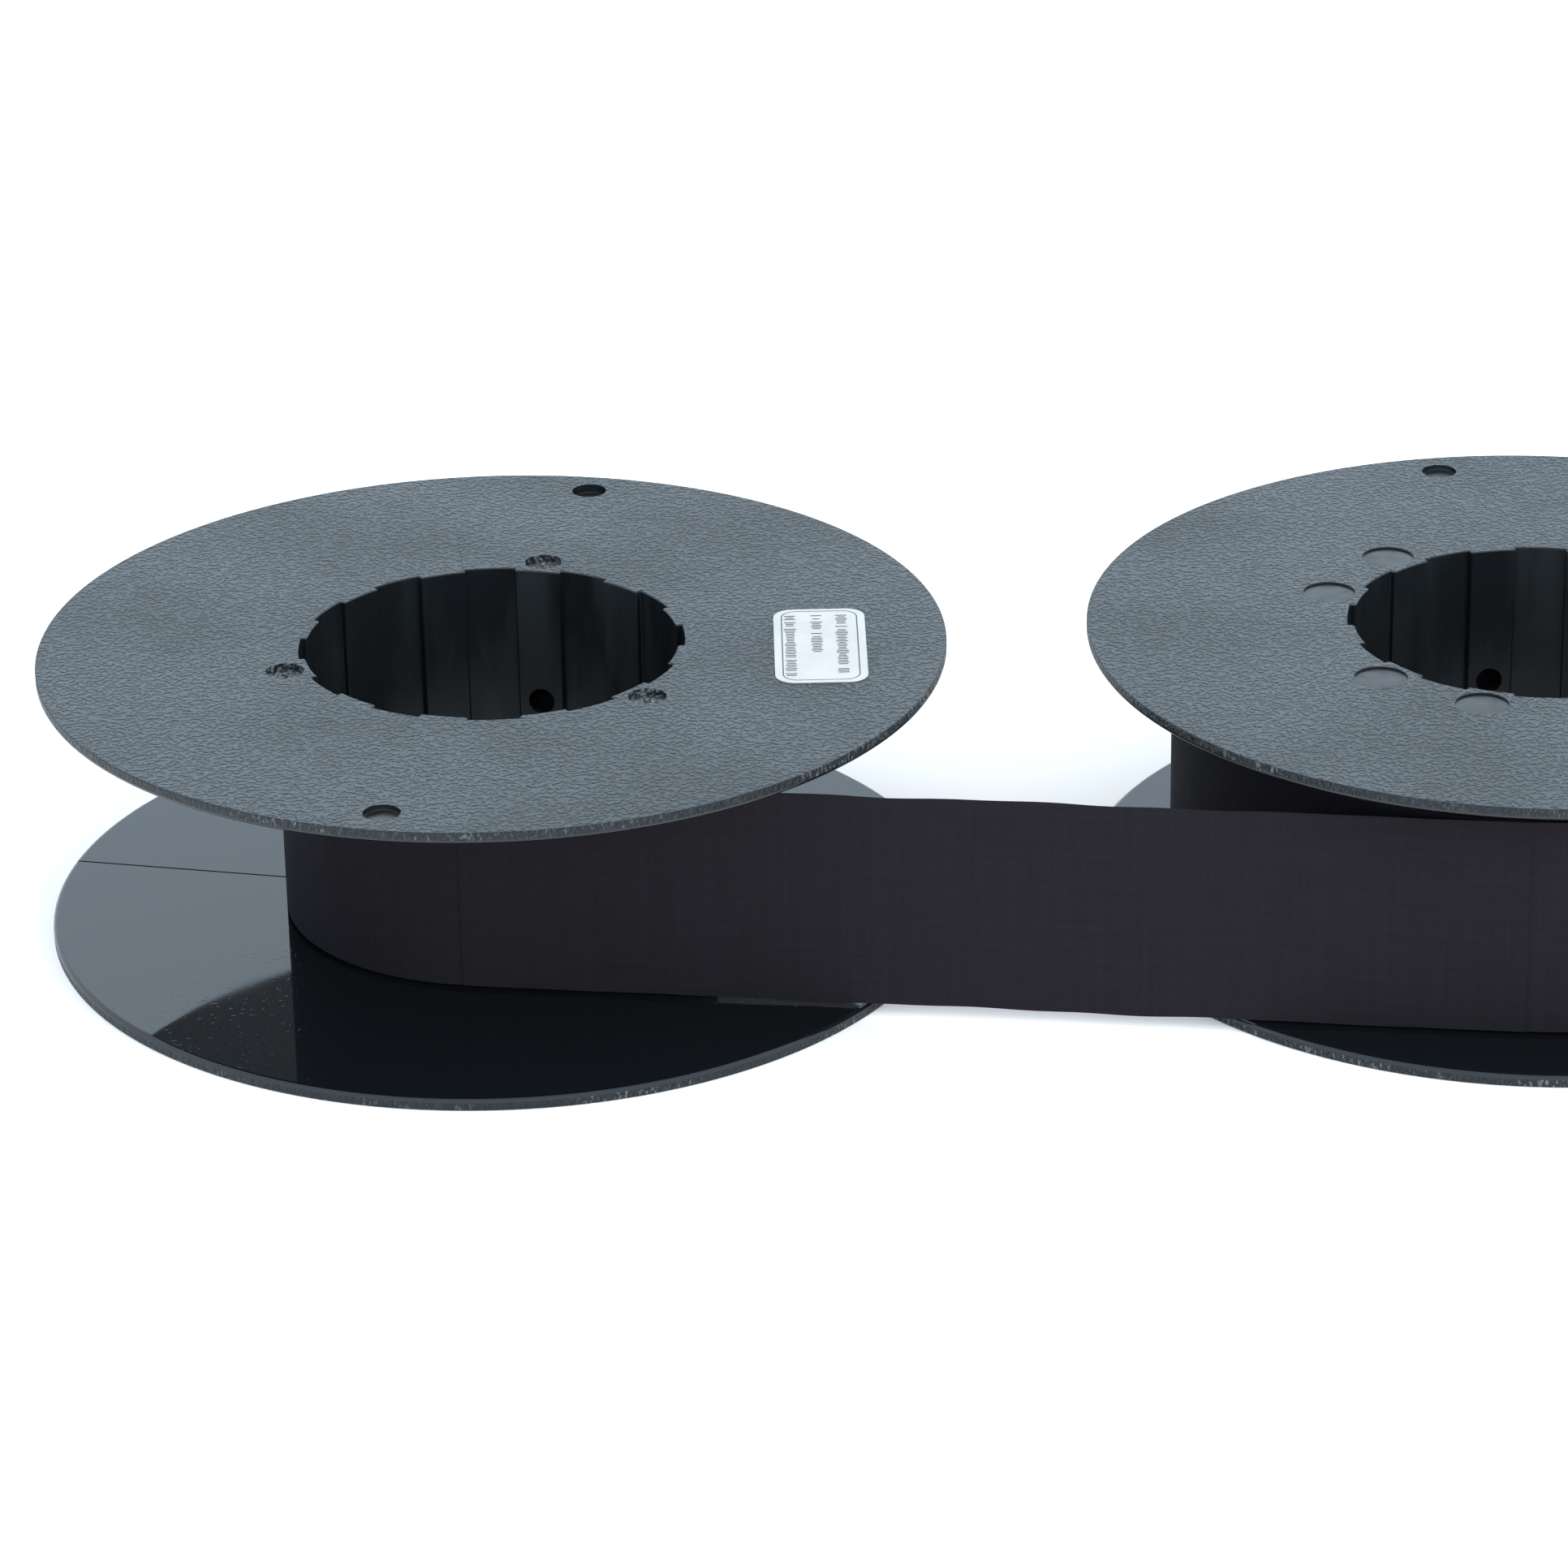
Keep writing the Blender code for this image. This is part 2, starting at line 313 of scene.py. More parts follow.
def grained_plastic():
    material, tree, shader = new_material("plastic_leather_grain", PLASTIC, 0.34, PLASTIC_SHEEN)
    place = object_place(tree)
    worms = noise(tree, place, GRAIN_SCALE, detail=1.0)
    add_bump(tree, shader, remap(tree, worms, GRAIN_FLOOR, GRAIN_LAND), GRAIN_DEPTH)
    smudge = noise(tree, place, scale=38, detail=3.0)
    vary_roughness(tree, shader, smudge, 0.35, 0.7, smoothest=0.30, roughest=0.42)
    # Painted shade: the furrows are coloured darker and the lands paler, from the same noise as the
    # bump.
    vary_colour(tree, shader, remap(tree, worms, low=0.30, high=0.68), GRAIN_FURROW_PAINTED_SHADE, GRAIN_LAND_PAINTED_LIGHT)
    return material


def polished_plastic():
    material, tree, shader = new_material("plastic_polished", PLASTIC, 0.03, PLASTIC_SHEEN)
    place = object_place(tree)
    haze = noise(tree, place, scale=55, detail=4.0)
    vary_roughness(tree, shader, haze, 0.35, 0.75, smoothest=0.02, roughest=0.06)
    wave = noise(tree, place, scale=90, detail=1.0)
    waved = add_bump(tree, shader, wave, 0.02 * MM, strength=0.25)
    dust = remap(tree, noise(tree, place, scale=1900, detail=0.0), low=0.74, high=0.80)
    add_bump(tree, shader, dust, 0.01 * MM, strength=0.4, before=waved)
    return material


def eroded_plastic():
    material, tree, shader = new_material("plastic_eroded_rim", PLASTIC, 0.42, PLASTIC_SHEEN)
    place = object_place(tree)
    upright = stretched_place(tree, place, (1, 1, 0.45))
    pits = noise(tree, upright, scale=2300, detail=2.0, roughness=0.6)
    add_bump(tree, shader, remap(tree, pits, low=0.36, high=0.62), 0.30 * MM)
    specks = remap(tree, noise(tree, upright, scale=2900, detail=1.0), low=0.54, high=0.70)
    speck_patches = remap(tree, noise(tree, place, scale=60, detail=2.0), low=0.42, high=0.62)
    # Paler specks on the rim, gathered into patches by a broader noise.
    vary_colour(tree, shader, math_node(tree, "MULTIPLY", specks, speck_patches), PLASTIC, RIM_PALE_SPECK)
    return material


def satin_plastic():
    material, tree, shader = new_material("plastic_satin_bore", PLASTIC, 0.3, PLASTIC_SHEEN)
    place = object_place(tree)
    drags = noise(tree, stretched_place(tree, place, (1, 1, 0.03)), scale=1500, detail=3.0)
    add_bump(tree, shader, drags, 0.02 * MM, strength=0.6)
    wear = noise(tree, stretched_place(tree, place, (1, 1, 0.25)), scale=160, detail=4.0)
    vary_roughness(tree, shader, wear, 0.4, 0.7, smoothest=0.22, roughest=0.5)
    return material


def coarse_plastic():
    material, tree, shader = new_material("plastic_gate_well", PLASTIC, 0.32, PLASTIC_SHEEN)
    place = object_place(tree)
    upright = stretched_place(tree, place, (1, 1, 0.3))
    ribs = noise(tree, upright, scale=2600, detail=3.0, roughness=0.7)
    add_bump(tree, shader, ribs, 0.08 * MM)
    chips = remap(tree, noise(tree, place, scale=2200, detail=2.0), low=0.46, high=0.68)
    vary_colour(tree, shader, chips, PLASTIC, TORN_CHIP)
    return material


def smooth_plastic():
    material, tree, shader = new_material("plastic_ejector_disc", PLASTIC, 0.28, PLASTIC_SHEEN)
    place = object_place(tree)
    add_bump(tree, shader, noise(tree, place, scale=2400, detail=2.0), 0.012 * MM, strength=0.5)
    smudge = noise(tree, place, scale=420, detail=3.0)
    vary_roughness(tree, shader, smudge, 0.35, 0.7, smoothest=0.24, roughest=0.4)
    return material


PLASTIC_FINISHES = [grained_plastic(), polished_plastic(), eroded_plastic(), satin_plastic(),
                    coarse_plastic(), smooth_plastic()]
GRAINED, POLISHED, ERODED, SATIN, COARSE, SMOOTH = range(6)
print("finishes", [m.name for m in PLASTIC_FINISHES])

# %% [markdown]
# ## The moulding's bore
#
# The bore is a circle of twelve lands with a shallow groove between each pair. It could be
# cut out with twelve blocks, but a ring of computed points gives clean edges: each groove
# has a small chamfer at its corners, and the same function with an offset gives the wider
# outline of the chamfer where the bore meets the outer face.

# %% Bore outline
BORE_LAND_RADIUS = 21.2 * MM
BORE_GROOVE_RADIUS = 21.9 * MM
BORE_GROOVES = 12
GROOVE_ANGLE = math.radians(15.7)
ARC_STEPS = 8
EDGE = 0.12 * MM                     # size of the small rounded edges


def polar(radius, angle, z):
    return Vector((radius * math.cos(angle), radius * math.sin(angle), z))


def arc_points(radius, start, end, z):
    span = end - start
    return [polar(radius, start + span * i / ARC_STEPS, z) for i in range(ARC_STEPS + 1)]


def bore_ring(offset, z):
    """The splined outline at height z, pushed out by offset. Angle 0 is the middle of a land."""
    pitch = 2 * math.pi / BORE_GROOVES
    land = BORE_LAND_RADIUS + offset
    groove = BORE_GROOVE_RADIUS + offset
    half = GROOVE_ANGLE / 2 + offset / land
    ease = EDGE / land
    ring = []
    for k in range(BORE_GROOVES):
        centre = (k + 0.5) * pitch
        left = centre - half
        right = centre + half
        ring += arc_points(land, centre - pitch + half + ease, left - ease, z)
        ring += [polar(land + EDGE, left, z), polar(groove - EDGE, left, z)]
        ring += arc_points(groove, left + ease, right - ease, z)
        ring += [polar(groove - EDGE, right, z), polar(land + EDGE, right, z)]
    return ring


COLUMNS = len(bore_ring(0, 0))
print("columns round the bore", COLUMNS)

# %% [markdown]
# ## The moulding's body
#
# The rest of the spool is turned, so each further ring is a circle with the same number of
# points. Rings are listed once round the section: over the upper face, down the rim, along
# the winding room, up to the lower face and back through the bore. Neighbouring rings are
# joined with quads, which makes one closed skin.

# %% Spool body
RIM_ROUND = 0.5 * MM
HUB_FILLET = 0.6 * MM
ROUND_STEPS = 5


def round_corner(centre_r, centre_z, radius, start, end):
    """Points (radius, height) of a rounded corner of the section; angles in degrees."""
    points = []
    for i in range(ROUND_STEPS + 1):
        angle = math.radians(start + (end - start) * i / ROUND_STEPS)
        points.append((centre_r + radius * math.cos(angle), centre_z + radius * math.sin(angle)))
    return points


def outer_section():
    """Half of the section, from the upper face's outer edge down to the hub's middle."""
    top = SPOOL_HEIGHT
    under = top - FLANGE_THICKNESS
    section = round_corner(FLANGE_RADIUS - EDGE, top - EDGE, EDGE, 90, 0)
    section += round_corner(FLANGE_RADIUS - RIM_ROUND, under + RIM_ROUND, RIM_ROUND, 0, -90)
    section += round_corner(HUB_RADIUS + HUB_FILLET, under - HUB_FILLET, HUB_FILLET, 90, 180)
    return section


def circle_ring(radius, z):
    start = bore_ring(0, 0)[0]
    first = math.atan2(start.y, start.x)
    return [polar(radius, first + 2 * math.pi * j / COLUMNS, z) for j in range(COLUMNS)]


def spool_rings():
    upper = outer_section()
    lower = [(r, SPOOL_HEIGHT - z) for r, z in reversed(upper)]
    rings = [bore_ring(EDGE, SPOOL_HEIGHT)]
    rings += [circle_ring(r, z) for r, z in upper + lower]
    rings += [bore_ring(EDGE, 0), bore_ring(0, EDGE), bore_ring(0, SPOOL_HEIGHT - EDGE)]
    return rings


def skin_of(rings):
    """One closed skin through a closed loop of rings."""
    skin = bmesh.new()
    rows = [[skin.verts.new(point) for point in ring] for ring in rings]
    for k in range(len(rows)):
        row, after = rows[k], rows[(k + 1) % len(rows)]
        for j in range(COLUMNS):
            n = (j + 1) % COLUMNS
            skin.faces.new((row[j], after[j], after[n], row[n]))
    bmesh.ops.recalc_face_normals(skin, faces=skin.faces)
    return skin


body_skin = skin_of(spool_rings())
print("spool body", len(body_skin.faces), "faces")

# %% [markdown]
# ## Holes, wells and marks
#
# Every hollow is a small turned shape that is taken away with a Boolean: the blind rim
# holes, the gate wells with their torn walls, the shallow discs that the ejector pins left,
# and the anchor hole through the hub. The two halves of the mould that shaped the winding
# room met on a line at right angles to the anchor hole, and left a hairline across the
# polished faces and down the hub. Thin blades cut that hairline.

# %% Hollows
HOLE_STEPS = 56
PAST = 1.0 * MM                      # how far a cutter reaches beyond the plastic
RIM_HOLE_CIRCLE = 47.0 * MM
RIM_HOLE_RADIUS = 2.05 * MM
RIM_HOLE_DEPTH = 0.65 * MM
ANCHOR_RIM_HOLE_DEPTH = 1.05 * MM    # the gate face's hole on the anchor hole's side
RIM_HOLE_FILLET = 0.14 * MM
GATE_CIRCLE = 24.1 * MM
GATE_RADIUS = 2.2 * MM
GATE_DEPTH = 0.65 * MM
GATE_ANGLES = (0, 120, 240)
GATE_RAGGEDNESS = 0.022              # share by which a well's torn wall wanders
GATE_SEED = 5
EJECTOR_CIRCLE = 25.0 * MM
EJECTOR_RADIUS = 3.0 * MM
EJECTOR_DEPTH = 0.25 * MM
EJECTOR_FLARE = 1.03                 # a disc is a little wider at its mouth
EJECTOR_FLARE_DEPTH = 0.06 * MM
EJECTOR_ANGLES = (30, 60, 120, 150, -30, -60, -120, -150)
ANCHOR_RADIUS = 1.55 * MM
HAIRLINE = 0.28 * MM
HAIRLINE_DEPTH = 0.12 * MM
HAIRLINE_BLADE = 0.8 * MM            # how tall the blade is, enough to clear the hub's fillets


def add_turned(solid, section, place, jitter=0.0, dice=None):
    """A closed turned shape: section is (radius, height) from bottom to top, capped."""
    wobble = [1 + (dice.uniform(-jitter, jitter) if dice else 0) for _ in range(HOLE_STEPS)]
    turns = [2 * math.pi * i / HOLE_STEPS for i in range(HOLE_STEPS)]
    rows = []
    for radius, z in section:
        rows.append([solid.verts.new(place @ polar(radius * share, turn, z))
                     for share, turn in zip(wobble, turns)])
    for row, after in zip(rows, rows[1:]):
        for i in range(HOLE_STEPS):
            n = (i + 1) % HOLE_STEPS
            solid.faces.new((row[i], row[n], after[n], after[i]))
    solid.faces.new(list(reversed(rows[0])))
    solid.faces.new(rows[-1])


def rim_hole_section(face, inwards, depth):
    """A blind hole with a small fillet at its floor. inwards is -1 or +1 in z."""
    wide, fillet = RIM_HOLE_RADIUS, RIM_HOLE_FILLET
    ease = 0.3 * fillet              # how far in from both sides the fillet's middle lies
    steps = [(wide, -PAST), (wide, depth - fillet), (wide - ease, depth - ease),
             (wide - fillet, depth)]
    points = [(r, face + inwards * d) for r, d in steps]
    return points if inwards > 0 else list(reversed(points))


def gate_well_section():
    """A well with a torn nib in the middle of its floor, and a fine ring round the nib."""
    floor = SPOOL_HEIGHT - GATE_DEPTH
    return [(0.24 * MM, floor + 0.34 * MM), (0.40 * MM, floor + 0.03 * MM), (0.80 * MM, floor),
            (0.88 * MM, floor - 0.06 * MM), (0.98 * MM, floor), (GATE_RADIUS * 0.97, floor),
            (GATE_RADIUS, SPOOL_HEIGHT + PAST)]


def placed_at(direction_deg, radius):
    return Matrix.Translation(polar(radius, math.radians(direction_deg), 0))


def add_rim_holes(solid):
    for degrees, face, inwards, depth in ((0, SPOOL_HEIGHT, -1, ANCHOR_RIM_HOLE_DEPTH),
                                          (180, SPOOL_HEIGHT, -1, RIM_HOLE_DEPTH),
                                          (0, 0, 1, RIM_HOLE_DEPTH)):
        section = rim_hole_section(face, inwards, depth)
        add_turned(solid, section, placed_at(degrees, RIM_HOLE_CIRCLE))


def add_wells_and_discs(solid):
    dice = random.Random(GATE_SEED)
    for degrees in GATE_ANGLES:
        place = placed_at(degrees, GATE_CIRCLE)
        add_turned(solid, gate_well_section(), place, GATE_RAGGEDNESS, dice)
    mouth = EJECTOR_RADIUS * EJECTOR_FLARE
    section = [(mouth, -PAST), (mouth, 0.0), (EJECTOR_RADIUS, EJECTOR_FLARE_DEPTH),
               (EJECTOR_RADIUS, EJECTOR_DEPTH)]
    for degrees in EJECTOR_ANGLES:
        add_turned(solid, section, placed_at(degrees, EJECTOR_CIRCLE))


def add_anchor_hole(solid):
    middle = Matrix.Translation((0, 0, SPOOL_HEIGHT / 2))
    sideways = middle @ Matrix.Rotation(math.pi / 2, 4, "Y")
    section = [(ANCHOR_RADIUS, BORE_LAND_RADIUS - 2 * PAST), (ANCHOR_RADIUS, HUB_RADIUS + PAST)]
    add_turned(solid, section, sideways)


def add_hairlines(solid):
    """Two blades a hair wide, each shaped like a C that grazes both inner faces and the hub."""
    low = FLANGE_THICKNESS - HAIRLINE_DEPTH
    high = SPOOL_HEIGHT - low
    near, far = HUB_RADIUS - HAIRLINE_DEPTH, FLANGE_RADIUS + PAST
    inner_low, inner_high = low + HAIRLINE_BLADE, high - HAIRLINE_BLADE
    clear = near + HAIRLINE_BLADE
    outline = [(near, low), (far, low), (far, inner_low), (clear, inner_low),
               (clear, inner_high), (far, inner_high), (far, high), (near, high)]
    for turn in (90, -90):
        place = Matrix.Rotation(math.radians(turn), 4, "Z")
        sides = [[solid.verts.new(place @ Vector((r, y, z))) for r, z in outline]
                 for y in (-HAIRLINE / 2, HAIRLINE / 2)]
        solid.faces.new(sides[0])
        solid.faces.new(list(reversed(sides[1])))
        for i in range(len(outline)):
            n = (i + 1) % len(outline)
            solid.faces.new((sides[0][n], sides[0][i], sides[1][i], sides[1][n]))


def hollow_solids():
    solids = []
    for add in (add_rim_holes, add_wells_and_discs, add_anchor_hole, add_hairlines):
        solid = bmesh.new()
        add(solid)
        bmesh.ops.recalc_face_normals(solid, faces=solid.faces)
        solids.append(solid)
    return solids


cutters = hollow_solids()
print("hollows", sum(len(c.faces) for c in cutters), "faces in", len(cutters), "sets")

# %% [markdown]
# ## Cutting
#
# Each set of hollows is taken from the body with an exact Boolean. The modifiers are
# evaluated once and the result is kept as a plain mesh, so nothing live is left behind.

# %% Cutting


def cut_away(mesh, solids):
    body = add_object("body", mesh)
    tools = []
    for solid in solids:
        tool = add_object("tool", mesh_from(solid, "tool"))
        step = body.modifiers.new("cut", "BOOLEAN")
        step.operation, step.solver, step.object = "DIFFERENCE", "EXACT", tool
        tools.append(tool)
    graph = bpy.context.evaluated_depsgraph_get()
    result = bpy.data.meshes.new_from_object(body.evaluated_get(graph))
    for spare in [body] + tools:
        bpy.data.objects.remove(spare)
    return result


spool_mesh = cut_away(mesh_from(body_skin, "spool"), cutters)
print("spool after cutting", len(spool_mesh.polygons), "faces")

# %% [markdown]
# ## Which finish goes where
#
# A face's place on the section says which mould surface made it. Flat outer faces are
# grained, the rim is eroded, the bore is satin, and whatever lies inside a well, a disc or a
# hole has that hollow's finish. The rest faces the ribbon and is polished.
#
# The Booleans leave a few points almost on top of each other. They are welded, which keeps the
# skin closed, before the creases are set.

# %% Zones of finish
FACE_SLACK = 0.01 * MM               # a face this near the outside is the outer face
MARK_REACH = 1.3 * MM                # how deep below the outer face a hollow's faces lie
HOLE_FLOOR_FROM = 0.3 * MM           # how deep below it a rim hole's floor starts
RIM_HOLE_ZONE = 2.2 * MM
EDGE_ZONE = 0.3 * MM
GATE_ZONE = GATE_RADIUS * 1.04
EJECTOR_ZONE = EJECTOR_RADIUS * 1.05
WELD = 0.0004 * MM
CREASE = math.radians(30)
LEVEL = 0.9999                       # a normal this upright belongs to a level face
NEARLY_LEVEL = 0.99
STEEP = 0.9                          # a normal less upright than this belongs to a wall
SLIGHT_TURN = 0.02


def near_any(point, circle, directions, reach):
    spots = [polar(circle, math.radians(d), 0) for d in directions]
    return any((Vector((point.x, point.y, 0)) - spot).length < reach for spot in spots)


def finish_at(point, normal):
    radius = math.hypot(point.x, point.y)
    depth = min(point.z, SPOOL_HEIGHT - point.z)
    upper = point.z > SPOOL_HEIGHT / 2
    if abs(normal.z) > NEARLY_LEVEL and depth < FACE_SLACK:
        return GRAINED
    if depth < MARK_REACH:
        if upper and near_any(point, GATE_CIRCLE, GATE_ANGLES, GATE_ZONE):
            return COARSE
        if not upper and near_any(point, EJECTOR_CIRCLE, EJECTOR_ANGLES, EJECTOR_ZONE):
            return SMOOTH
    if near_any(point, RIM_HOLE_CIRCLE, (0, 180), RIM_HOLE_ZONE):
        if abs(normal.z) < STEEP or HOLE_FLOOR_FROM < depth < MARK_REACH:
            return SMOOTH
    if radius < BORE_GROOVE_RADIUS + EDGE_ZONE:
        return SATIN
    if radius > FLANGE_RADIUS - EDGE_ZONE and depth < FLANGE_THICKNESS - RIM_ROUND:
        return ERODED
    return POLISHED


def give_finishes(mesh):
    for material in PLASTIC_FINISHES:
        mesh.materials.append(material)
    count = [0] * len(PLASTIC_FINISHES)
    for face in mesh.polygons:
        face.material_index = finish_at(face.center, face.normal)
        count[face.material_index] += 1
    return count


def soften(mesh):
    """Smooth shading, with creases where faces meet at a corner or a flat meets a curve."""
    work = bmesh.new()
    work.from_mesh(mesh)
    bmesh.ops.remove_doubles(work, verts=work.verts, dist=WELD)
    bmesh.ops.dissolve_degenerate(work, edges=work.edges, dist=WELD)
    for face in work.faces:
        face.smooth = True
    for edge in work.edges:
        if len(edge.link_faces) != 2:
            continue
        first, second = edge.link_faces
        flats = [abs(face.normal.z) > LEVEL for face in (first, second)]
        turn = first.normal.angle(second.normal, 0)
        edge.smooth = turn < CREASE and (flats[0] == flats[1] or turn < SLIGHT_TURN)
    work.to_mesh(mesh)
    work.free()


print("faces per finish", give_finishes(spool_mesh))
soften(spool_mesh)

# %% [markdown]
# ## Two spools from one moulding
#
# Both spools come from the same mould. The take-up spool stands with its gate wells up. The
# supply spool is turned over, so its ejector discs are up. A flip that is a true rotation
# keeps the faces pointing outwards.

# %% Place the spools


def add_piece(name, mesh, body, stands_for=()):
    piece = add_object(name, mesh)
    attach(piece, body)
    if stands_for:
        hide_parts(*stands_for)
    return piece


def place_spool(name, mesh, place, body, node):
    copy = mesh.copy()
    copy.transform(place)
    copy.name = name
    add_piece(name, copy, body, [node])


def spool_place(axis, angle, turned_over):
    place = Matrix.Translation(axis) @ Matrix.Rotation(angle, 4, "Z")
    if turned_over:
        lift = Matrix.Translation((0, 0, SPOOL_HEIGHT))
        place = place @ lift @ Matrix.Rotation(math.pi, 4, "X")
    return place


TAKEUP_PLACE = spool_place(TAKEUP_AXIS, TAKEUP_ANGLE, turned_over=False)
SUPPLY_PLACE = spool_place(SUPPLY_AXIS, SUPPLY_ANGLE, turned_over=True)
place_spool("takeup_spool_skin", spool_mesh, TAKEUP_PLACE, "takeup", "takeup_spool")
place_spool("supply_spool_skin", spool_mesh, SUPPLY_PLACE, "supply", "supply_spool")
print("spools placed at", TAKEUP_AXIS, SUPPLY_AXIS)

# %% [markdown]
# ## Inked nylon
#
# The ribbon is a fine plain weave soaked in black ink: matt, with faint upright streaks
# where threads bunch, and fainter level ones that cross them. The pattern reads two things:
# how far along the ribbon a point is, kept on the mesh as an attribute, and its height.

# %% Ribbon finish
INK = (0.0116, 0.0100, 0.0124)
INK_DARK = tuple(0.92 * c for c in INK)
INK_PALE = tuple(1.10 * c for c in INK)
THREADS_PER_M = 5200


def threads(tree, distance):
    turns = math_node(tree, "MULTIPLY", distance, 2 * math.pi * THREADS_PER_M)
    return math_node(tree, "SINE", turns)


def weighted_sum(tree, first, first_share, second, second_share):
    return math_node(tree, "ADD", math_node(tree, "MULTIPLY", first, first_share),
                     math_node(tree, "MULTIPLY", second, second_share))


def inked_nylon():
    material, tree, shader = new_material("inked_nylon", INK, roughness=0.85,
                                          specular_tint=(1, 0.95, 0.98), specular=0.1)
    along = add_node(tree, "ShaderNodeAttribute", attribute_name="along").outputs["Fac"]
    height = add_node(tree, "ShaderNodeSeparateXYZ", {"Vector": object_place(tree)}).outputs["Z"]
    cloth = add_node(tree, "ShaderNodeCombineXYZ", {"X": along, "Y": height}).outputs["Vector"]
    upright = stretched_place(tree, cloth, (1, 0.035, 1))
    level = stretched_place(tree, cloth, (0.06, 1, 1))
    streaks = noise(tree, upright, scale=1300, detail=4.0, roughness=0.65)
    crossings = noise(tree, level, scale=1500, detail=3.0)
    weave = math_node(tree, "MULTIPLY", threads(tree, along), threads(tree, height))
    add_bump(tree, shader, weighted_sum(tree, weave, 0.35, streaks, 0.7), 0.03 * MM)
    shade = remap(tree, weighted_sum(tree, streaks, 0.55, crossings, 0.45), low=0.35, high=0.65)
    vary_colour(tree, shader, shade, INK_DARK, INK_PALE)
    return material


NYLON = inked_nylon()
print("ribbon finish", NYLON.name)

# %% [markdown]
# ## The windings
#
# A wound ribbon is a spiral, so the windings are grown with Geometry Nodes: a flat spiral,
# one point every few degrees, lifted and lowered a little by a noise so that the turns don't
# all end level, swept with a tall thin rectangle. The distance along the spiral is stored
# first, because the weave needs it. A stack of plain rings would be easier, but its end would
# show no ribbon leaving it.
#
# The take-up winding grows anticlockwise from its hub and the supply winding clockwise, as the
# ribbon passes in front of both axes. Each spiral's last point is turned to where the free
# span leaves.

# %% Winding tree
RIBBON_THICKNESS = 0.11 * MM
TURN_PITCH = 0.15 * MM
POINTS_PER_TURN = 96
UNEVEN = 0.22 * MM
WANDER_SCALE = 9.0


def new_tree(name, inputs):
    tree = bpy.data.node_groups.new(name, "GeometryNodeTree")
    tree.interface.new_socket("Geometry", in_out="OUTPUT", socket_type="NodeSocketGeometry")
    for label, kind in inputs:
        tree.interface.new_socket(label, in_out="INPUT", socket_type=kind)
    return tree, tree.nodes.new("NodeGroupInput").outputs, tree.nodes.new("NodeGroupOutput")


def finish_tree(tree, geometry, material, out):
    real = add_node(tree, "GeometryNodeRealizeInstances", {"Geometry": geometry})
    finished = add_node(tree, "GeometryNodeSetMaterial", {
        "Geometry": real.outputs["Geometry"], "Material": material})
    tree.links.new(finished.outputs["Geometry"], out.inputs["Geometry"])


def winding_tree():
    tree, given, out = new_tree("wound_ribbon", [
        ("Turns", "NodeSocketFloat"), ("Points", "NodeSocketInt"),
        ("Inner Radius", "NodeSocketFloat"), ("Outer Radius", "NodeSocketFloat"),
        ("Thickness", "NodeSocketFloat"), ("Width", "NodeSocketFloat"),
        ("Uneven", "NodeSocketFloat"), ("Seed", "NodeSocketFloat"),
        ("Anticlockwise", "NodeSocketBool"), ("Turned", "NodeSocketRotation"),
        ("Place", "NodeSocketVector"), ("Material", "NodeSocketMaterial")])
    spiral = add_node(tree, "GeometryNodeCurveSpiral", {
        "Resolution": given["Points"], "Rotations": given["Turns"],
        "Start Radius": given["Inner Radius"], "End Radius": given["Outer Radius"],
        "Height": 0.0, "Reverse": given["Anticlockwise"]})
    length = add_node(tree, "GeometryNodeSplineParameter").outputs["Length"]
    marked = add_node(tree, "GeometryNodeStoreNamedAttribute", {
        "Geometry": spiral.outputs["Curve"], "Name": "along", "Value": length})
    wander = add_node(tree, "ShaderNodeTexNoise", {
        "W": math_node(tree, "ADD", length, given["Seed"]), "Scale": WANDER_SCALE, "Detail": 3.0},
        noise_dimensions="1D")
    swing = math_node(tree, "SUBTRACT", wander.outputs["Fac"], 0.5)
    lift = math_node(tree, "MULTIPLY", swing, given["Uneven"])
    offset = add_node(tree, "ShaderNodeCombineXYZ", {"Z": lift})
    uneven = add_node(tree, "GeometryNodeSetPosition", {
        "Geometry": marked.outputs["Geometry"], "Offset": offset.outputs["Vector"]})
    edge = add_node(tree, "GeometryNodeCurvePrimitiveQuadrilateral", {
        "Width": given["Thickness"], "Height": given["Width"]})
    swept = add_node(tree, "GeometryNodeCurveToMesh", {
        "Curve": uneven.outputs["Geometry"], "Profile Curve": edge.outputs["Curve"],
        "Fill Caps": True})
    moved = add_node(tree, "GeometryNodeTransform", {
        "Geometry": swept.outputs["Mesh"], "Rotation": given["Turned"],
        "Translation": given["Place"]})
    finish_tree(tree, moved.outputs["Geometry"], given["Material"], out)
    return tree


WINDING_TREE = winding_tree()
print("winding tree", len(WINDING_TREE.nodes), "nodes")

# %% [markdown]
# ## Growing a piece from a tree
#
# The tree's inputs are set by name before it is evaluated for the first time. The evaluated
# mesh is then kept and the modifier goes, so the piece that rides the body is a plain mesh.

# %% Grow


def grow(name, tree, values):
    holder = add_object(name + "_seed", bpy.data.meshes.new(name + "_seed"))
    step = holder.modifiers.new("grow", "NODES")
    step.node_group = tree
    for item in tree.interface.items_tree:
        if item.in_out == "INPUT" and item.name in values:
            step[item.identifier] = values[item.name]
    graph = bpy.context.evaluated_depsgraph_get()
    mesh = bpy.data.meshes.new_from_object(holder.evaluated_get(graph))
    mesh.name = name
    bpy.data.objects.remove(holder)
    return mesh


